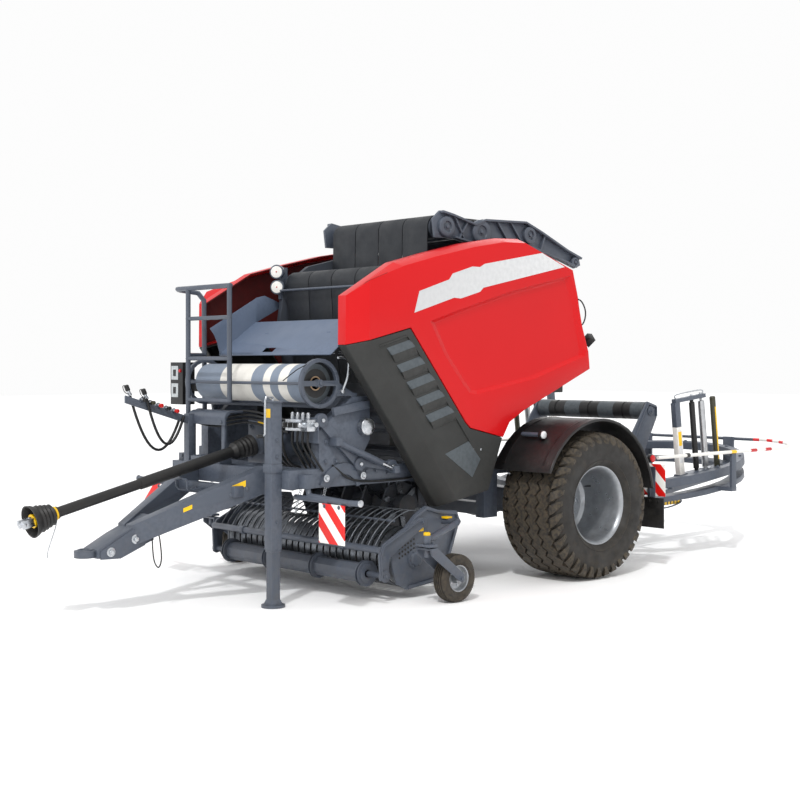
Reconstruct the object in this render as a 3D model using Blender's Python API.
"""Round baler with a bale wrapper behind it, towed, parked on its jack.

Metres, +Z up, front towards -Y, the machine's left towards +X, ground at z = 0.
Lengths are laid out from the axle; the empty "machine" shifts all of it so that
the base centre of the whole is the origin.
"""
import math

import bmesh
import bpy
from mathutils import Matrix, Vector

# ------------------------------------------------------------------ dimensions
TYRE_R = 0.611            # 650/50 R22.5
TYRE_W = 0.62
TYRE_OUT = 1.495          # outer face of the tyre, half of the overall width
RIM_R = 0.322
GAP = 0.0003              # between pieces that touch
CHAMBER_HALF = 0.625      # inner face of the chamber walls
WALL_T = 0.0447
BEAM_IN = 0.670           # side beams of the chassis
BEAM_OUT = 0.765
BEAM_Z0 = 0.86
BEAM_Z1 = 1.00
HEAD_Y = -2.70            # front face of the headstock
TONGUE_Y = -3.925         # middle of the hitch eye
TONGUE_Z = 0.436
JACK_X = 0.633
JACK_TOP = 1.50
JACK_HALF = 0.045         # half the width of the jack's outer tube
LEG_HALF = 0.036
FOOT_R = 0.088
GEARBOX_Z = 1.145
PTO_FRONT = Vector((0.0, -4.30, 0.705))
BELT_HALF = 0.595
FRONT_ROLLER = (-1.565, 2.455)
IDLER = (-1.253, 2.420)
TOP_ROLLER = (-1.045, 2.890)
REAR_ROLLER = (-0.040, 2.885)
ROLLER_R = 0.095
BELT_T = 0.008
GATE_HINGE = (-0.50, 2.50)
HOOD_RIM = 0.860
HOOD_MID = 0.950
HOOD_OUT = 1.050
HOOD_T = 0.012
HOOD_HINGE = (0.800, 2.830)
PICKUP_HALF = 1.055
PICKUP_HINGE = (-1.330, 0.600)
REEL_C = (-1.720, 0.300)
REEL_R = 0.200
PRESS_C = (-2.045, 0.199)
PRESS_R = 0.100
PRESS_HALF = 0.882
PRESS_HINGE = (-1.640, 0.560)
GAUGE_X = 1.375
GAUGE_Y = -1.620
GAUGE_R = 0.180
CASTOR_Y = -1.900
ROTOR_C = (-1.370, 0.640)
ROLL_C = (-2.400, 1.632)
ROLL_R = 0.146
ROLL_HALF = 0.700         # half the length of the net roll
HOOP_R = 0.186            # outside of the cradle's hoops
COVER_HINGE = (-1.870, 2.130)
WRAP_C = Vector((0.0, 2.020, 0.760))   # middle of the film ring
WRAP_TILT = math.radians(7.0)
RING_R = 1.250
RING_SEGS = 36
RING_B = 0.080            # width and height of the ring's beam
FILM_R = 1.080            # ring axis to the middle of a film unit
FILM_H = 0.720            # height of a film unit above the ring
FILM_TURN = math.radians(-6.0)
TABLE_HINGE = (1.420, 0.790)
TABLE_LOW = (1.400, 0.925)
TABLE_HIGH = (1.700, 1.330)
TABLE_ROLLER_R = 0.085
TABLE_HALF = 0.692
BAR_HALF = 1.400
BAR_Z = 0.960
BAR_REAR = 3.300
BAR_R = 0.016

COLOURS = {
    "red": (0.86, 0.012, 0.02),
    "slate": (0.105, 0.125, 0.155),
    "light": (0.20, 0.245, 0.31),
    "trim": (0.065, 0.065, 0.06),
    "black": (0.015, 0.015, 0.017),
    "belt": (0.028, 0.034, 0.045),
    "tyre": (0.03, 0.027, 0.024),
    "silver": (0.42, 0.43, 0.44),
    "white": (0.80, 0.79, 0.76),
    "yellow": (0.80, 0.52, 0.01),
}

# --------------------------------------------------------------------- helpers
for old in list(bpy.data.objects):
    bpy.data.objects.remove(old)

machine = bpy.data.objects.new("machine", None)
bpy.context.scene.collection.objects.link(machine)
made = {}


def raw(bm):
    """A scratch object from a bmesh."""
    bmesh.ops.recalc_face_normals(bm, faces=bm.faces)
    mesh = bpy.data.meshes.new("scratch")
    bm.to_mesh(mesh)
    bm.free()
    ob = bpy.data.objects.new("scratch", mesh)
    bpy.context.scene.collection.objects.link(ob)
    return ob


def hexa(rear, front):
    """Solid between two quads of four points each."""
    bm = bmesh.new()
    a = [bm.verts.new(p) for p in rear]
    b = [bm.verts.new(p) for p in front]
    bm.faces.new(a)
    bm.faces.new(list(reversed(b)))
    for i in range(4):
        j = (i + 1) % 4
        bm.faces.new([a[i], b[i], b[j], a[j]])
    return raw(bm)


def box(x0, x1, y0, y1, z0, z1):
    rear = [(x0, y0, z0), (x1, y0, z0), (x1, y0, z1), (x0, y0, z1)]
    front = [(x, y1, z) for x, y, z in rear]
    return hexa(rear, front)


def prism(outline, x0, x1):
    """Outline of (y, z) points drawn out along X."""
    bm = bmesh.new()
    a = [bm.verts.new((x0, y, z)) for y, z in outline]
    b = [bm.verts.new((x1, y, z)) for y, z in outline]
    bm.faces.new(a)
    bm.faces.new(list(reversed(b)))
    n = len(outline)
    for i in range(n):
        j = (i + 1) % n
        bm.faces.new([a[i], b[i], b[j], a[j]])
    return raw(bm)


def frame_of(axis):
    d = Vector(axis).normalized()
    up = Vector((0, 0, 1)) if abs(d.z) < 0.9 else Vector((0, 1, 0))
    u = up.cross(d).normalized()
    v = d.cross(u).normalized()
    return d, u, v


def lathe(profile, start, axis, segs=24):
    """Profile of (distance along the axis, radius); a radius of 0 closes an end."""
    d, u, v = frame_of(axis)
    o = Vector(start)
    bm = bmesh.new()
    rings = []
    for s, r in profile:
        if r <= 1e-6:
            rings.append([bm.verts.new(o + d * s)])
            continue
        ring = []
        for i in range(segs):
            t = 2 * math.pi * i / segs
            ring.append(bm.verts.new(o + d * s + u * (r * math.cos(t)) + v * (r * math.sin(t))))
        rings.append(ring)
    closed = len(rings[0]) > 1 and len(rings[-1]) > 1
    pairs = list(zip(rings, rings[1:]))
    if closed:
        pairs.append((rings[-1], rings[0]))
    for a, b in pairs:
        for i in range(segs):
            j = (i + 1) % segs
            if len(a) == 1 and len(b) == 1:
                continue
            if len(a) == 1:
                bm.faces.new([a[0], b[i], b[j]])
            elif len(b) == 1:
                bm.faces.new([a[i], b[0], a[j]])
            else:
                bm.faces.new([a[i], b[i], b[j], a[j]])
    return raw(bm)


def cyl(p0, p1, r, segs=16):
    a = Vector(p0)
    b = Vector(p1)
    length = (b - a).length
    return lathe([(0, 0), (0, r), (length, r), (length, 0)], a, b - a, segs)


def xcyl(x0, x1, y, z, r, segs=20):
    return cyl((x0, y, z), (x1, y, z), r, segs)


def xring(x0, x1, y, z, r_in, r_out, segs=24):
    return lathe([(x0, r_in), (x0, r_out), (x1, r_out), (x1, r_in)], (0, y, z), (1, 0, 0), segs)


def pipe(points, r, segs=8, closed=False):
    """Bent round bar through the points, mitred."""
    pts = [Vector(p) for p in points]
    n = len(pts)
    bm = bmesh.new()
    rings = []
    d0 = (pts[1] - pts[0]).normalized()
    _, u, _ = frame_of(d0)
    for i in range(n):
        before = pts[i - 1] if (i > 0 or closed) else None
        after = pts[(i + 1) % n] if (i < n - 1 or closed) else None
        din = (pts[i] - before).normalized() if before is not None else (after - pts[i]).normalized()
        dout = (after - pts[i]).normalized() if after is not None else din
        t = (din + dout).normalized()
        if closed and i == 0:
            u = frame_of(din)[1]
        w = din.cross(u).normalized()
        u = w.cross(din).normalized()
        ring = []
        for k in range(segs):
            a = 2 * math.pi * k / segs
            off = u * (r * math.cos(a)) + w * (r * math.sin(a))
            p = pts[i] + off
            p = p + din * ((pts[i] - p).dot(t) / din.dot(t))
            ring.append(bm.verts.new(p))
        rings.append(ring)
        w = dout.cross(u - dout * u.dot(dout)).normalized()
        u = w.cross(dout).normalized()
    spans = list(zip(rings, rings[1:]))
    if closed:
        spans.append((rings[-1], rings[0]))
    for a, b in spans:
        for k in range(segs):
            j = (k + 1) % segs
            bm.faces.new([a[k], b[k], b[j], a[j]])
    if not closed:
        bm.faces.new(rings[0])
        bm.faces.new(list(reversed(rings[-1])))
    return raw(bm)


def mirrored(ob):
    """A copy of a scratch object on the other side of the machine."""
    bm = bmesh.new()
    bm.from_mesh(ob.data)
    for v in bm.verts:
        v.co.x = -v.co.x
    bmesh.ops.reverse_faces(bm, faces=bm.faces)
    return raw(bm)


def moved(ob, matrix):
    ob.data.transform(matrix)
    return ob


def join(base, others, how="UNION"):
    """Boolean the others into base and drop them."""
    for other in others:
        mod = base.modifiers.new("b", "BOOLEAN")
        mod.operation = how
        mod.solver = "EXACT"
        mod.object = other
    bpy.context.view_layer.update()
    graph = bpy.context.evaluated_depsgraph_get()
    mesh = bpy.data.meshes.new_from_object(base.evaluated_get(graph))
    base.modifiers.clear()
    base.data = mesh
    for other in others:
        bpy.data.objects.remove(other)
    return base


def cut(base, others):
    return join(base, others, "DIFFERENCE")


def surface(name, colour, metallic=0.0, rough=0.5):
    m = bpy.data.materials.new(name)
    m.use_nodes = True
    b = m.node_tree.nodes["Principled BSDF"]
    b.inputs["Base Color"].default_value = (*COLOURS[colour], 1.0)
    b.inputs["Metallic"].default_value = metallic
    b.inputs["Roughness"].default_value = rough
    return m


def hinge(name, where, parent=None):
    """Empty on a joint axis; pieces that move with it are parented to it."""
    e = bpy.data.objects.new(name, None)
    bpy.context.scene.collection.objects.link(e)
    e.parent = parent or machine
    base = parent.get("at", (0, 0, 0)) if parent else (0, 0, 0)
    e.location = Vector(where) - Vector(base)
    e["at"] = tuple(where)
    return e


def keep(name, ob, colour, parent=None, metallic=0.0, rough=0.5, smooth=False):
    """Name a scratch object as a node and hang it on its joint."""
    ob.name = name
    ob.data.name = name
    at = Vector(parent["at"]) if parent else Vector((0, 0, 0))
    ob.data.transform(Matrix.Translation(-at))
    ob.parent = parent or machine
    ob.data.materials.clear()
    ob.data.materials.append(surface(name, colour, metallic, rough))
    for p in ob.data.polygons:
        p.use_smooth = smooth
    made[name] = ob
    return ob


# --------------------------------------------------------------------- chassis
def build_chassis():
    parts = []
    for s in (1, -1):
        x0, x1 = sorted((s * BEAM_IN, s * BEAM_OUT))
        parts.append(box(x0, x1, HEAD_Y, 0.20, BEAM_Z0, BEAM_Z1))
        parts.append(prism([(-2.42, 0.90), (-2.42, 1.28), (-2.09, 1.53), (-1.92, 1.53),
                            (-1.92, 1.20), (-2.05, 1.00), (-2.05, 0.90)], x0, x1))
        parts.append(box(x0, x1, -0.66, -0.50, 0.50, 0.90))
        parts.append(box(x0, x1, -0.10, 0.10, 0.56, 0.90))
        a, b = sorted((s * 0.72, s * 0.995))
        parts.append(xcyl(a, b, 0, TYRE_R, 0.055, 16))
    parts.append(box(-0.765, 0.765, HEAD_Y, HEAD_Y + 0.12, BEAM_Z0, BEAM_Z1))
    parts.append(box(-0.70, 0.70, -2.30, -2.18, BEAM_Z0 + 0.01, BEAM_Z1 - GAP))
    parts.append(box(-0.80, 0.80, -0.085, 0.085, TYRE_R - 0.085, TYRE_R + 0.085))
    parts.append(box(-0.70, 0.70, -2.085, -1.99, 1.43, 1.52))
    parts.append(box(-0.70, 0.70, -0.64, -0.52, 0.52, 0.62))
    first = parts.pop(0)
    keep("chassis_frame", join(first, parts), "slate")


def build_drawbar():
    parts = []
    for s in (1, -1):
        rear = [(s * 0.39, HEAD_Y - GAP, 0.825), (s * 0.51, HEAD_Y - GAP, 0.825),
                (s * 0.51, HEAD_Y - GAP, 1.02), (s * 0.39, HEAD_Y - GAP, 1.02)]
        front = [(s * 0.01, -3.60, 0.47), (s * 0.10, -3.60, 0.47),
                 (s * 0.10, -3.60, 0.62), (s * 0.01, -3.60, 0.62)]
        parts.append(hexa(rear, front))
    parts.append(prism([(-3.88, 0.405), (-3.88, 0.467), (-3.70, 0.56), (-3.42, 0.68),
                        (-3.42, 0.50), (-3.70, 0.40)], -0.095, 0.095))
    parts.append(box(-0.045, 0.045, -3.93, -3.80, 0.411, 0.461))
    parts.append(box(-0.44, 0.44, -2.95, -2.87, 0.80, 0.88))
    first = parts.pop(0)
    bar = join(first, parts)
    eye = cyl((0, TONGUE_Y, 0.411), (0, TONGUE_Y, 0.461), 0.078, 24)
    bar = join(bar, [eye])
    hole = cyl((0, TONGUE_Y, 0.30), (0, TONGUE_Y, 0.60), 0.027, 20)
    keep("drawbar", cut(bar, [hole]), "slate")


def build_jack():
    yc = HEAD_Y - GAP - JACK_HALF
    tube = box(JACK_X - JACK_HALF, JACK_X + JACK_HALF, yc - JACK_HALF, yc + JACK_HALF, 0.42, JACK_TOP)
    leg = box(JACK_X - LEG_HALF, JACK_X + LEG_HALF, yc - LEG_HALF, yc + LEG_HALF, 0.012, 0.50)
    foot = cyl((JACK_X, yc, 0.0), (JACK_X, yc, 0.02), FOOT_R, 24)
    keep("jack", join(tube, [leg, foot]), "slate")


def build_drive():
    body = box(-0.17, 0.17, -2.38, -2.10, BEAM_Z1, 1.34)
    nose = cyl((0, -2.38, GEARBOX_Z), (0, -2.44, GEARBOX_Z), 0.075, 20)
    keep("gearbox", join(body, [nose]), "slate")
    start = Vector((0, -2.475, GEARBOX_Z))
    d = (PTO_FRONT - start)
    full = d.length
    prof = [(0.0, 0.0), (0.0, 0.085), (0.16, 0.07), (0.20, 0.045), (full - 0.14, 0.045),
            (full - 0.12, 0.075), (full - 0.02, 0.085), (full + 0.05, 0.118), (full + 0.05, 0.108),
            (full - 0.02, 0.076), (full - 0.06, 0.066), (full - 0.06, 0.0)]
    keep("pto_guard", lathe(prof, start, d, 20), "black", smooth=False)
    u = d.normalized()
    spin = hinge("pto_spin", start + u * (full + 0.04))
    a = start + u * (full - 0.05)
    yoke = cyl(a, a + u * 0.10, 0.034, 16)
    side = Vector((1, 0, 0))
    arms = []
    for s in (1, -1):
        c0 = a + u * 0.09 + side * (s * 0.030)
        rear = []
        up = u.cross(side).normalized()
        for dx, dz in ((-0.011, -0.028), (0.011, -0.028), (0.011, 0.028), (-0.011, 0.028)):
            rear.append(c0 + side * dx + up * dz - u * 0.02)
        front = [p + u * 0.10 for p in rear]
        arms.append(hexa(rear, front))
    yoke = join(yoke, arms)
    keep("pto_yoke", yoke, "silver", spin, metallic=1.0, rough=0.35)


def build_hose_holder():
    x0, x1 = -0.575, -0.555
    rear = [(x0, -2.66, 1.29), (x1, -2.66, 1.29), (x1, -2.66, 1.35), (x0, -2.66, 1.35)]
    front = [(x0, -3.26, 1.475), (x1, -3.26, 1.475), (x1, -3.26, 1.535), (x0, -3.26, 1.535)]
    arm = hexa(rear, front)
    post = box(-0.60, -0.53, -2.70, -2.64, BEAM_Z1 + GAP, 1.38)
    keep("hose_holder", join(arm, [post]), "slate")


def hose(name, points):
    curve = bpy.data.curves.new(name, "CURVE")
    curve.dimensions = "3D"
    curve.bevel_depth = 0.011
    curve.bevel_resolution = 2
    curve.use_fill_caps = True
    line = curve.splines.new("POLY")
    line.points.add(len(points) - 1)
    for p, q in zip(line.points, points):
        p.co = (*q, 1.0)
    ob = bpy.data.objects.new(name, curve)
    bpy.context.scene.collection.objects.link(ob)
    ob.parent = machine
    ob.data.materials.append(surface(name, "black"))
    made[name] = ob


def sag(p0, p1, drop, n=18):
    """Points of a hanging loop from p0 to p1."""
    a = Vector(p0)
    b = Vector(p1)
    out = []
    for i in range(n + 1):
        t = i / n
        p = a.lerp(b, t)
        p.z -= drop * 4 * t * (1 - t)
        out.append(tuple(p))
    return out


def build_hoses():
    hose("hose_a", sag((-0.59, -2.74, 1.36), (-0.59, -3.20, 1.53), 0.34))
    hose("hose_b", sag((-0.54, -2.74, 1.36), (-0.54, -3.08, 1.50), 0.28))


def build_platform():
    deck = box(-0.50, -0.11, -2.70, -2.585, BEAM_Z1 + GAP, 1.05)
    r = 0.020
    y = -2.625
    xa, xc, xe = -0.65, -0.08, -0.83
    parts = [
        box(-0.74, -0.62, y - 0.03, y + 0.03, BEAM_Z1 + GAP, 1.06),
        box(-0.64, -0.48, -2.635, -2.60, 1.01, 1.04),
        pipe([(xa, y, 1.03), (xa, y, 2.39)], r),
        pipe([(xc, y, 1.48), (xc, y, 2.39)], r),
        pipe([(xc + 0.018, y, 2.385), (xe + 0.03, y, 2.385), (xe, y + 0.03, 2.38), (xe + 0.02, -2.42, 2.36),
              (xe + 0.03, -2.37, 2.30), (xe + 0.03, -2.36, 1.06)], r),
        pipe([(xa, y, 2.14), (xc, y, 2.14)], 0.016),
        pipe([(xa, y, 1.82), (xc, y, 1.82)], 0.016),
        pipe([(xa, y, 1.49), (xc, y, 1.49)], 0.016),
        pipe([(xa, y, 1.85), (xe + 0.03, -2.36, 1.85)], 0.016),
        box(-0.83, -0.7653, -2.40, -2.32, 0.92, 1.10),
    ]
    keep("service_platform", join(deck, parts), "slate")


def build_net():
    y, z = ROLL_C
    spin = hinge("roll_spin", (0, y, z))
    keep("net_roll", xcyl(-ROLL_HALF, ROLL_HALF, y, z, ROLL_R, 24), "white", spin)
    parts = []
    h0 = ROLL_HALF + 0.025
    h1 = h0 + 0.030
    for s in (1, -1):
        a, b = sorted((s * h0, s * h1))
        parts.append(xring(a, b, y, z, HOOP_R - 0.028, HOOP_R))
        parts.append(xcyl(min(s * (ROLL_HALF + 0.004), s * h0), max(s * (ROLL_HALF + 0.004), s * (h0 + 0.01)),
                          y, z, 0.03, 12))
        parts.append(box(a, b, y - 0.17, y + 0.17, z - 0.02, z + 0.02))
        parts.append(prism([(y + 0.15, z - 0.10), (y + 0.15, z + 0.02), (y + 0.33, z - 0.08),
                            (y + 0.33, z - 0.095)], a, b))
        parts.append(box(a, b, y + 0.30, y + 0.36, 1.5303, z - 0.075))
    parts.append(xcyl(-h0 - 0.01, h0 + 0.01, y - 0.172, z, 0.012, 8))
    parts.append(xcyl(-h0 - 0.01, h0 + 0.01, y + 0.02, z - 0.172, 0.014, 8))
    first = parts.pop(0)
    keep("roll_cradle", join(first, parts), "slate")


def build_cover():
    """Folded sheet over the net roll, lifting at its rear edge, and the box beside it."""
    y, z = COVER_HINGE
    h = hinge("cover_hinge", (0, y, z))
    t = 0.005
    fold = belt_loop([(-2.25, 1.85), (-2.10, 1.97), (y, z)], t)
    sheet = prism(fold, -0.755, 0.70)
    side = prism([(-2.30, 2.02), (-2.34, 2.07), (-1.86, 2.34), (-1.78, 2.36), (-1.56, 2.285),
                  (-1.86, 2.133), (-1.88, 2.119), (-2.10, 1.966), (-2.24, 1.855), (-2.27, 1.96)], -0.760, -0.754)
    slot = box(-0.20, -0.06, -2.30, -2.15, 1.872, 1.905)
    sheet = join(sheet, [side])
    keep("net_cover", cut(sheet, [slot]), "light", h)
    case = box(-1.10, -0.92, -2.50, -2.38, 1.44, 1.79)
    arm = box(-0.93, -0.8203, -2.41, -2.36, 1.55, 1.62)
    keep("control_box", join(case, [arm]), "black")


def build_chamber():
    outline = [(-0.455, 0.78), (-0.455, 2.62), (-0.90, 2.74), (-1.40, 2.62), (-1.66, 2.44),
               (-1.72, 2.10), (-1.62, 1.62), (-1.42, 1.10), (-1.30, 0.90), (-1.10, 0.78)]
    for s, side in ((1, "left"), (-1, "right")):
        x0, x1 = sorted((s * CHAMBER_HALF, s * (CHAMBER_HALF + WALL_T)))
        wall = prism(outline, x0, x1)
        keep("chamber_wall_" + side, wall, "slate")
    inner = CHAMBER_HALF - GAP
    y, z = FRONT_ROLLER
    keep("front_roller", xcyl(-inner, inner, y, z, ROLLER_R, 24), "slate")
    keep("idler_roller", xcyl(-inner, inner, IDLER[0], IDLER[1], ROLLER_R, 24), "slate")
    for i, (py, pz) in enumerate(((-1.46, 1.30), (-1.24, 1.02), (-0.96, 0.90))):
        keep("chamber_roller_%d" % (i + 1), xcyl(-inner, inner, py, pz, 0.085, 20), "slate")


def build_top():
    """Tension arms with the two upper belt rollers."""
    ty, tz = TOP_ROLLER
    ry, rz = REAR_ROLLER
    parts = []
    for s in (1, -1):
        a, b = sorted((s * 0.674, s * 0.696))
        parts.append(prism([(-1.16, 2.80), (-1.18, 2.95), (-1.10, 3.02), (-0.98, 3.00), (-0.72, 2.94),
                            (-0.60, 2.985), (-0.10, 3.00), (0.10, 2.93), (0.45, 2.79), (0.64, 2.73),
                            (0.66, 2.66), (0.58, 2.63), (0.40, 2.68), (0.0, 2.77), (-0.50, 2.80),
                            (-0.70, 2.76), (-0.95, 2.80)], a, b))
        c, d = sorted((s * 0.61, s * 0.69))
        parts.append(xcyl(c, d, ty, tz, 0.035, 12))
        parts.append(xcyl(c, d, ry, rz, 0.035, 12))
        parts.append(box(min(s * 0.6704, s * 0.69), max(s * 0.6704, s * 0.69), -0.80, -0.56, 2.60, 2.80))
    parts.append(xcyl(-0.69, 0.69, -0.64, 2.87, 0.04, 12))
    first = parts.pop(0)
    keep("tension_arms", join(first, parts), "slate")
    e = 0.6096
    keep("top_roller", xcyl(-e, e, ty, tz, ROLLER_R, 24), "slate")
    keep("rear_top_roller", xcyl(-e, e, ry, rz, ROLLER_R, 24), "slate")


def belt_loop(points, t):
    """Strip of thickness t along (y, z) points, closed outline for a prism."""
    left = []
    right = []
    n = len(points)
    for i, (y, z) in enumerate(points):
        a = Vector(points[max(i - 1, 0)])
        b = Vector(points[min(i + 1, n - 1)])
        d = (b - a).normalized()
        nrm = Vector((-d.y, d.x))
        left.append((y + nrm.x * t / 2, z + nrm.y * t / 2))
        right.append((y - nrm.x * t / 2, z - nrm.y * t / 2))
    return left + right[::-1]


def arc(c, r, a0, a1, n):
    out = []
    for i in range(n + 1):
        a = math.radians(a0 + (a1 - a0) * i / n)
        out.append((c[0] + r * math.cos(a), c[1] + r * math.sin(a)))
    return out


def build_belts():
    """Belts over the front roller, under the idler and up over the two top rollers."""
    r = ROLLER_R + BELT_T / 2 + 0.001
    span = Vector(IDLER) - Vector(FRONT_ROLLER)
    cross = math.degrees(math.atan2(span.y, span.x) + math.acos(2 * r / span.length))
    run = [(-1.555, 1.62), (-1.64, 2.05)]
    run += arc(FRONT_ROLLER, r, 188, cross, 13)
    run += arc(IDLER, r, cross + 180, 360, 12)
    run += arc(TOP_ROLLER, r, 180, 90, 8)
    run += arc(REAR_ROLLER, r, 90, -10, 9)
    belts = prism(belt_loop(run, BELT_T), -BELT_HALF, BELT_HALF)
    keep("belts_front", belts, "belt")


def build_gate():
    at = (0, GATE_HINGE[0], GATE_HINGE[1])
    h = hinge("gate_hinge", at)
    outline = [(-0.44, 2.44), (-0.20, 2.47), (0.08, 2.40), (0.20, 2.26), (0.27, 2.00), (0.27, 1.75),
               (0.12, 1.45), (-0.35, 1.25), (-0.44, 1.30)]
    parts = []
    for s in (1, -1):
        x0, x1 = sorted((s * 0.615, s * 0.655))
        parts.append(prism(outline, x0, x1))
    for y, z, r in ((0.06, 2.32, 0.05), (0.16, 1.80, 0.06), (-0.30, 1.36, 0.07)):
        parts.append(xcyl(-0.64, 0.64, y, z, r, 16))
    first = parts.pop(0)
    keep("tailgate", join(first, parts), "slate", h)
    keep("belts_rear", prism(belt_loop([(0.165, 2.26), (0.225, 2.02), (0.245, 1.76)], BELT_T),
                             -BELT_HALF, BELT_HALF), "belt", h)
    return h


# ----------------------------------------------------------------------- hoods
RED_OUT = [(-2.173, 1.953), (-2.173, 2.392), (-1.839, 2.513), (-1.474, 2.608), (-1.070, 2.702),
           (-0.725, 2.762), (-0.464, 2.770), (0.135, 2.575), (0.201, 2.340), (0.260, 2.104),
           (0.345, 1.882), (0.362, 1.735), (-0.005, 1.587), (-0.484, 1.395), (-0.655, 1.305),
           (-0.733, 1.185), (-1.108, 1.272), (-1.163, 1.320), (-1.755, 2.053)]
RED_MID = [(-2.320, 1.918), (-2.316, 2.281), (-1.850, 2.548), (-1.482, 2.645), (-1.076, 2.740),
           (-0.727, 2.800), (-0.455, 2.812), (0.170, 2.605), (0.228, 2.345), (0.290, 2.110),
           (0.375, 1.888), (0.392, 1.715), (0.005, 1.560), (-0.472, 1.368), (-0.632, 1.285),
           (-0.733, 1.185), (-1.108, 1.272), (-1.163, 1.320), (-1.755, 2.053)]
TRIM_OUT = [(-2.173, 1.949), (-1.7566, 2.0475), (-1.1662, 1.3160), (-1.1108, 1.2680), (-0.7365, 1.1815),
            (-0.898, 0.768), (-1.260, 0.709), (-1.715, 1.344)]
TRIM_FLARE = (0.0, 0.0, 0.0, 0.0, 0.0, 0.030, 0.137, 0.138)   # edges moved out at the sloped rim


def widen(outline, moves):
    """Outline with each edge moved outwards, parallel to itself, by its own distance."""
    n = len(outline)
    area = sum(outline[i - 1][0] * outline[i][1] - outline[i][0] * outline[i - 1][1] for i in range(n))
    sign = 1.0 if area > 0 else -1.0
    lines = []
    for i in range(n):
        p, q = Vector(outline[i]), Vector(outline[(i + 1) % n])
        d = (q - p).normalized()
        out = Vector((d.y, -d.x)) * sign
        lines.append((p + out * moves[i], d))
    points = []
    for i in range(n):
        (p, d), (q, e) = lines[i - 1], lines[i]
        t = ((q.x - p.x) * e.y - (q.y - p.y) * e.x) / (d.x * e.y - d.y * e.x)
        points.append((p.x + d.x * t, p.y + d.y * t))
    return points


def shrink(outline, d):
    """Outline moved inwards by d."""
    n = len(outline)
    area = 0.0
    for i in range(n):
        y0, z0 = outline[i]
        y1, z1 = outline[(i + 1) % n]
        area += y0 * z1 - y1 * z0
    sign = 1.0 if area > 0 else -1.0
    out = []
    for i in range(n):
        p = Vector(outline[i])
        a = (p - Vector(outline[i - 1])).normalized()
        b = (Vector(outline[(i + 1) % n]) - p).normalized()
        na = Vector((-a.y, a.x)) * sign
        nb = Vector((-b.y, b.x)) * sign
        m = (na + nb)
        m = m / max(m.length_squared / 2.0, 0.35)
        q = p + m * d
        out.append((q.x, q.y))
    return out


def shell(out, mid, x_in, x_mid, x_out, t):
    """Hollow cover open towards the chamber: outer face and a sloped rim out to mid."""
    rows = []
    bm = bmesh.new()
    for x, line in (
        (x_in, mid),
        (x_mid, mid),
        (x_out, out),
        (x_out - t, shrink(out, t * 0.6)),
        (x_mid - t * 0.5, shrink(mid, t)),
        (x_in, shrink(mid, t)),
    ):
        rows.append([bm.verts.new((x, y, z)) for y, z in line])
    n = len(out)
    for a, b in ((0, 1), (1, 2), (3, 4), (4, 5), (5, 0)):
        for i in range(n):
            j = (i + 1) % n
            bm.faces.new([rows[a][i], rows[b][i], rows[b][j], rows[a][j]])
    bm.faces.new(rows[2])
    bm.faces.new(rows[3])
    return raw(bm)


def build_hoods():
    for s, side in ((1, "left"), (-1, "right")):
        h = hinge("hood_hinge_" + side, (s * HOOD_HINGE[0], 0, HOOD_HINGE[1]))
        red = shell(RED_OUT, RED_MID, HOOD_RIM, HOOD_MID, HOOD_OUT, HOOD_T)
        trim = shell(TRIM_OUT, widen(TRIM_OUT, TRIM_FLARE), HOOD_RIM, HOOD_MID, HOOD_OUT, HOOD_T)
        if s < 0:
            whole = (red, trim)
            red, trim = (mirrored(part) for part in whole)
            for part in whole:
                bpy.data.objects.remove(part)
        keep("hood_" + side, red, "red", h, rough=0.25)
        keep("hood_trim_" + side, trim, "trim", h)


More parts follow.
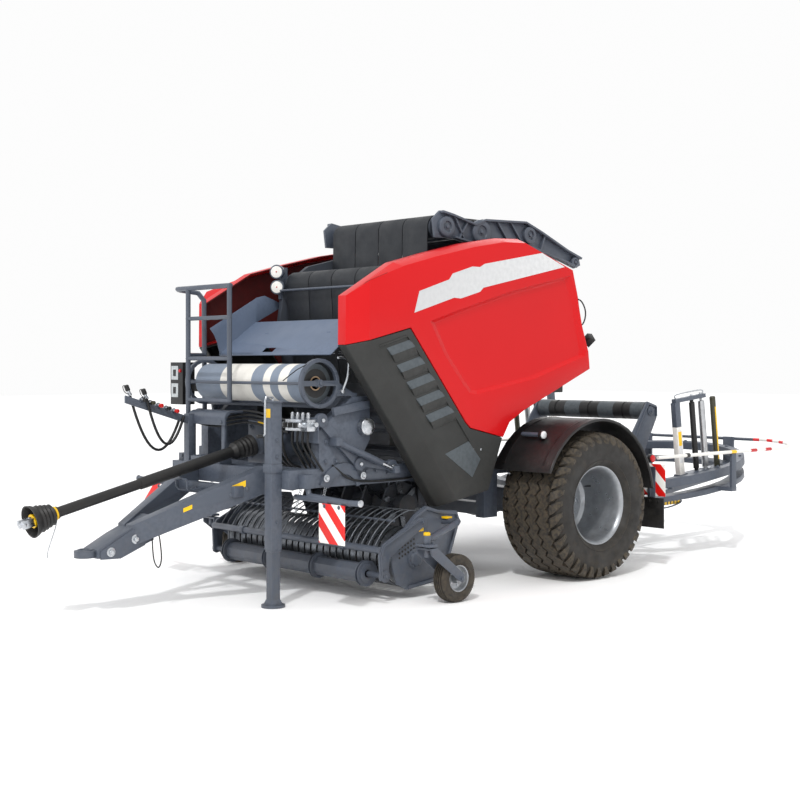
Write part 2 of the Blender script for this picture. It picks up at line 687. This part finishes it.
# ---------------------------------------------------------------------- pickup
def build_pickup():
    at = (0, PICKUP_HINGE[0], PICKUP_HINGE[1])
    lift = hinge("pickup_lift", at)
    outline = [(-1.95, 0.26), (-1.95, 0.42), (-1.72, 0.63), (-1.605, 0.69), (-1.47, 0.65), (-1.27, 0.63),
               (-1.24, 0.56), (-1.36, 0.26), (-1.50, 0.10), (-1.80, 0.07), (-1.90, 0.12)]
    parts = []
    for s in (1, -1):
        x0, x1 = sorted((s * (PICKUP_HALF - 0.02), s * PICKUP_HALF))
        parts.append(prism(outline, x0, x1))
        bend = s * (GAUGE_X - 0.16)
        parts.append(pipe([(s * (PICKUP_HALF - 0.01), -1.42, 0.56), (bend, -1.42, 0.57),
                           (bend + s * 0.04, -1.47, 0.565), (s * GAUGE_X, CASTOR_Y + 0.02, 0.487)], 0.024))
        parts.append(cyl((s * GAUGE_X, CASTOR_Y, 0.46), (s * GAUGE_X, CASTOR_Y, 0.52), 0.032, 12))
    parts.append(box(-1.04, 1.04, -1.37, -1.32, 0.27, 0.37))
    parts.append(xcyl(-1.04, 1.04, -1.50, 0.175, 0.03, 10))
    first = parts.pop(0)
    keep("pickup_frame", join(first, parts), "slate", lift)
    y, z = REEL_C
    spin = hinge("reel_spin", (0, y, z), lift)
    bars = [xcyl(-1.02, 1.02, y, z, 0.05, 12)]
    for x in (-0.96, -0.33, 0.33, 0.96):
        bars.append(xcyl(x - 0.012, x + 0.012, y, z, 0.165, 20))
    for k in range(4):
        t = math.pi / 4 + k * math.pi / 2
        bars.append(xcyl(-0.975, 0.975, y + 0.14 * math.cos(t), z + 0.14 * math.sin(t), 0.016, 8))
    first = bars.pop(0)
    keep("pickup_reel", join(first, bars), "slate", spin)
    r1 = REEL_R + 0.028
    band = arc(REEL_C, r1, 75, 262, 14)
    band2 = arc(REEL_C, r1 - 0.012, 262, 75, 14)
    inner = PICKUP_HALF - 0.020 - GAP
    keep("stripper_bands", prism(band + band2, -inner, inner), "silver", lift, metallic=0.8, rough=0.4)
    swing = hinge("press_arm", (0, PRESS_HINGE[0], PRESS_HINGE[1]), lift)
    py, pz = PRESS_C
    arms = []
    for s in (1, -1):
        a, b = sorted((s * (PICKUP_HALF + 0.006), s * (PICKUP_HALF + 0.024)))
        arms.append(prism([(-1.66, 0.53), (-1.62, 0.53), (-1.62, 0.60), (-1.70, 0.61), (-2.06, 0.44),
                           (-2.10, 0.36), (-2.09, 0.17), (-2.01, 0.16), (-2.00, 0.33)], a, b))
        c, d = sorted((s * (PRESS_HALF + 0.008), s * (PICKUP_HALF + 0.014)))
        arms.append(xcyl(c, d, py, pz, 0.022, 12))
    arms.append(xcyl(-PICKUP_HALF - 0.014, PICKUP_HALF + 0.014, -2.085, 0.395, 0.026, 10))
    first = arms.pop(0)
    keep("press_arm_frame", join(first, arms), "slate", swing)
    rspin = hinge("press_spin", (0, py, pz), swing)
    prof = [(-PRESS_HALF, 0.0)]
    for x in (-0.86, -0.30, 0.30, 0.86):
        for dx, r in ((-0.022, 0.08), (-0.012, 0.08), (-0.012, PRESS_R), (0.012, PRESS_R), (0.012, 0.08)):
            prof.append((x + dx, r))
    prof.append((PRESS_HALF, 0.08))
    prof.append((PRESS_HALF, 0.0))
    keep("press_roller", lathe(prof, (0, py, pz), (1, 0, 0), 16), "slate", rspin)
    for s, side in ((1, "left"), (-1, "right")):
        cx = s * GAUGE_X
        piv = hinge("castor_" + side, (cx, CASTOR_Y, 0.40), lift)
        parts = [cyl((cx, CASTOR_Y, 0.36), (cx, CASTOR_Y, 0.455), 0.022, 12)]
        fx0, fx1 = sorted((cx + s * -0.085, cx + s * -0.073))
        gx0, gx1 = sorted((cx + s * 0.073, cx + s * 0.085))
        parts.append(box(cx - 0.085, cx + 0.085, CASTOR_Y - 0.03, CASTOR_Y + 0.035, 0.415, 0.43))
        parts.append(prism([(CASTOR_Y - 0.03, 0.43), (CASTOR_Y + 0.03, 0.43), (GAUGE_Y + 0.03, 0.21),
                            (GAUGE_Y + 0.01, 0.16), (GAUGE_Y - 0.03, 0.17), (CASTOR_Y - 0.03, 0.38)], fx0, fx1))
        parts.append(prism([(CASTOR_Y - 0.03, 0.43), (CASTOR_Y + 0.03, 0.43), (GAUGE_Y + 0.03, 0.21),
                            (GAUGE_Y + 0.01, 0.16), (GAUGE_Y - 0.03, 0.17), (CASTOR_Y - 0.03, 0.38)], gx0, gx1))
        first = parts.pop(0)
        keep("gauge_fork_" + side, join(first, parts), "slate", piv)
        wsp = hinge("gauge_spin_" + side, (cx, GAUGE_Y, GAUGE_R), piv)
        w = 0.064
        prof = [(-w, 0.0), (-w, 0.075), (-w, GAUGE_R - 0.03), (-w * 0.6, GAUGE_R), (w * 0.6, GAUGE_R),
                (w, GAUGE_R - 0.03), (w, 0.075), (w, 0.0)]
        keep("gauge_wheel_" + side, lathe(prof, (cx, GAUGE_Y, GAUGE_R), (1, 0, 0), 24), "tyre", wsp)
    y, z = ROTOR_C
    rot = hinge("rotor_spin", (0, y, z))
    parts = [xcyl(-0.60, 0.60, y, z, 0.09, 16)]
    for k in range(5):
        x = -0.50 + 0.25 * k
        parts.append(xcyl(x - 0.01, x + 0.01, y, z, 0.20, 8))
    first = parts.pop(0)
    keep("feed_rotor", join(first, parts), "slate", rot)


# ---------------------------------------------------------------- wheels, body
def build_wheels():
    xo = TYRE_OUT
    xi = TYRE_OUT - TYRE_W
    for s, side in ((1, "left"), (-1, "right")):
        at = (s * (xo + xi) / 2, 0, TYRE_R)
        spin = hinge("wheel_spin_" + side, at)
        prof = [(xi + 0.05, 0.325), (xi + 0.012, 0.36), (xi, 0.46), (xi + 0.03, 0.560),
                (xi + 0.09, TYRE_R - 0.012), (xi + 0.16, TYRE_R), (xo - 0.16, TYRE_R),
                (xo - 0.09, TYRE_R - 0.012), (xo - 0.03, 0.560), (xo, 0.46), (xo - 0.012, 0.36),
                (xo - 0.05, 0.325)]
        prof = [(s * a, b) for a, b in prof]
        keep("tyre_" + side, lathe(prof, (0, 0, TYRE_R), (1, 0, 0), 40), "tyre", spin)
        g = 0.3247
        rim = [(1.000, 0.0), (1.000, 0.15), (1.020, 0.24), (0.990, 0.285), (xi + 0.060, 0.295),
               (xi + 0.052, g), (xo - 0.052, g), (xo - 0.058, 0.305), (xo - 0.12, 0.285),
               (1.120, 0.270), (1.055, 0.225), (1.055, 0.13), (1.10, 0.115), (1.12, 0.06), (1.12, 0.0)]
        rim = [(s * a, b) for a, b in rim]
        keep("rim_" + side, lathe(rim, (0, 0, TYRE_R), (1, 0, 0), 40), "silver", spin,
             metallic=0.9, rough=0.35)


def build_fenders():
    for s, side in ((1, "left"), (-1, "right")):
        c = (0.0, TYRE_R)
        outer = arc(c, 0.715, 155, 8, 14)
        inner = arc(c, 0.700, 8, 155, 14)
        x0, x1 = sorted((s * 0.86, s * 1.475))
        guard = prism(outer + inner, x0, x1)
        a, b = sorted((s * 0.7653, s * 0.862))
        stay = box(a, b, -0.05, 0.05, 0.90, 1.0)
        post = box(min(s * 0.835, s * 0.865), max(s * 0.835, s * 0.865), -0.06, 0.06, 0.90, 1.32)
        keep("fender_" + side, join(guard, [stay, post]), "black")


def build_panels():
    for s, side in ((1, "left"), (-1, "right")):
        x0, x1 = sorted((s * 1.018, s * 1.300))
        plate = box(x0, x1, -2.630, -2.622, 0.50, 0.782)
        keep("front_panel_" + side, plate, "white")
        arm = pipe([(s * 0.82, -2.58, 0.90), (s * 0.86, -2.59, 0.82), (s * 1.32, -2.600, 0.80)], 0.021, 8)
        block = box(min(s * 0.7653, s * 0.86), max(s * 0.7653, s * 0.86), -2.62, -2.54, 0.87, 0.97)
        keep("panel_arm_" + side, join(arm, [block]), "slate")


# --------------------------------------------------------------------- wrapper
def wrap_matrix():
    return Matrix.Translation(WRAP_C) @ Matrix.Rotation(WRAP_TILT, 4, "X")


def ring_z(y, above):
    """Height of a point above the tilted plane of the ring, at y."""
    return WRAP_C.z + (y - WRAP_C.y) * math.tan(WRAP_TILT) + above


def build_wrap_frame():
    half = RING_B / 2
    track_top = -half - 0.080
    track_low = track_top - 0.050
    sink = track_low + 0.020          # top of the beams, inside the track
    deep = 0.120
    front_y = WRAP_C.y - RING_R - 0.17
    rear_y = BAR_REAR - 0.045
    parts = [moved(lathe([(track_low, RING_R - 0.11), (track_low, RING_R + 0.02),
                          (track_top, RING_R + 0.02), (track_top, RING_R - 0.11)],
                         (0, 0, 0), (0, 0, 1), RING_SEGS), wrap_matrix())]
    outline = [(0.0853, 0.45), (front_y, ring_z(front_y, sink - deep)), (rear_y + 0.03, ring_z(rear_y, sink - deep)),
               (rear_y + 0.03, ring_z(rear_y, sink)), (front_y, ring_z(front_y, sink)), (0.0853, 0.57)]
    for s in (1, -1):
        x0, x1 = sorted((s * 0.46, s * 0.58))
        parts.append(prism(outline, x0, x1))
        parts.append(box(x0, x1, rear_y, BAR_REAR - BAR_R - GAP, ring_z(rear_y, sink - 0.05), BAR_Z + 0.06))
        hy, hz = TABLE_HINGE
        c, d = sorted((s * 0.50, s * 0.54))
        parts.append(prism([(hy - 0.08, ring_z(hy, sink) - 0.04), (hy + 0.08, ring_z(hy, sink) - 0.04),
                            (hy + 0.035, hz - 0.028), (hy - 0.035, hz - 0.028)], c, d))
        a, b = sorted((s * (RING_R - 0.05), s * (BAR_HALF + 0.01)))
        arm_z = ring_z(WRAP_C.y, track_low)
        parts.append(box(a, b, WRAP_C.y - 0.04, WRAP_C.y + 0.04, arm_z + 0.005, arm_z + 0.045))
        e, f = sorted((s * (BAR_HALF - 0.015), s * (BAR_HALF + 0.01)))
        parts.append(box(e, f, WRAP_C.y - 0.035, WRAP_C.y + 0.035, arm_z + 0.01, BAR_Z - BAR_R - GAP))
    parts.append(box(-0.58, 0.58, 0.0853, 0.16, 0.46, 0.565))
    first = parts.pop(0)
    keep("wrap_frame", join(first, parts), "slate")


def film_unit():
    """Film carrier about the middle of its plate: mast, two rollers, pole and top bar."""
    base = box(-0.05, 0.07, -0.26, 0.30, -0.01, 0.03)
    flat = (RING_R - RING_B / 2 - 0.01) * math.cos(math.pi / RING_SEGS)
    parts = [
        box(0.06, flat - 0.002 - FILM_R, -0.05, 0.05, -0.01, 0.03),
        box(-0.03, 0.03, -0.26, -0.19, 0.02, FILM_H),
        box(-0.02, 0.03, -0.25, 0.17, FILM_H - 0.02, FILM_H + 0.02),
        cyl((0.0, 0.0, 0.02), (0.0, 0.0, FILM_H), 0.028, 10),
        cyl((0.0, 0.13, 0.02), (0.0, 0.13, FILM_H), 0.032, 12),
        cyl((0.03, 0.26, 0.02), (0.03, 0.26, FILM_H - 0.02), 0.030, 12),
    ]
    return join(base, parts)


def build_ring():
    m = wrap_matrix()
    ring = hinge("wrap_ring_spin", tuple(WRAP_C))
    half = RING_B / 2
    parts = [lathe([(-half, RING_R - half - 0.01), (-half, RING_R + half - 0.01),
                    (half, RING_R + half - 0.01), (half, RING_R - half - 0.01)], (0, 0, 0), (0, 0, 1), RING_SEGS)]
    for k in range(4):
        t = math.radians(45 + 90 * k)
        x, y = (RING_R - 0.035) * math.cos(t), (RING_R - 0.035) * math.sin(t)
        parts.append(cyl((x, y, -half - 0.073), (x, y, 0.0), 0.03, 10))
    first = parts.pop(0)
    keep("wrap_ring", moved(join(first, parts), m), "slate", ring)
    for k, name in enumerate("ab"):
        place = Matrix.Rotation(k * math.pi + FILM_TURN, 4, "Z") @ Matrix.Translation((FILM_R, 0, 0))
        keep("film_unit_" + name, moved(film_unit(), m @ place), "slate", ring)


def build_table():
    hy, hz = TABLE_HINGE
    h = hinge("table_tilt", (0, hy, hz))
    ly, lz = TABLE_LOW
    uy, uz = TABLE_HIGH
    parts = []
    for s in (1, -1):
        a, b = sorted((s * (TABLE_HALF - 0.020), s * TABLE_HALF))
        parts.append(prism([(hy - 0.07, hz - 0.04), (hy + 0.06, hz - 0.05), (uy + 0.10, uz - 0.07),
                            (uy + 0.10, uz + 0.05), (uy - 0.04, uz + 0.09), (ly - 0.085, lz + 0.045)], a, b))
    edge = TABLE_HALF - 0.012
    parts.append(xcyl(-edge, edge, (ly + uy) / 2 + 0.02, (lz + uz) / 2 - 0.07, 0.035, 10))
    parts.append(xcyl(-edge, edge, hy, hz, 0.025, 12))
    first = parts.pop(0)
    keep("table_frame", join(first, parts), "slate", h)
    reach = TABLE_HALF - 0.026
    for name, (y, z) in (("table_roller_low", TABLE_LOW), ("table_roller_high", TABLE_HIGH)):
        spin = hinge(name + "_spin", (0, y, z), h)
        keep(name, xcyl(-reach, reach, y, z, TABLE_ROLLER_R, 20), "slate", spin)


def build_bar():
    """White bar along both sides and round the back of the ring."""
    r = 0.45
    z1 = BAR_Z + 0.04
    side = BAR_REAR - r
    pts = [(BAR_HALF, 0.86, BAR_Z), (BAR_HALF, side, BAR_Z)]
    for i in range(1, 7):
        t = math.radians(15 * i)
        pts.append((BAR_HALF - r + r * math.cos(t), side + r * math.sin(t), BAR_Z + (z1 - BAR_Z) * i / 6))
    left = [(-x, y, z) for x, y, z in reversed(pts)]
    keep("safety_bar", pipe(pts + left, BAR_R, 8), "white")


build_chassis()
build_drawbar()
build_jack()
build_drive()
build_hose_holder()
build_hoses()
build_platform()
build_net()
build_cover()
build_chamber()
build_top()
build_belts()
build_gate()
build_hoods()
build_pickup()
build_wheels()
build_fenders()
build_panels()
build_wrap_frame()
build_ring()
build_table()
build_bar()

# centre the whole over the origin
bpy.context.view_layer.update()
low = 1e9
high = -1e9
for ob in made.values():
    for c in ob.bound_box:
        y = (ob.matrix_world @ Vector(c)).y
        low = min(low, y)
        high = max(high, y)
machine.location.y = -(low + high) / 2
bpy.context.view_layer.update()
print("AXLE_Y", round(machine.location.y, 5), "span", round(low, 4), round(high, 4))
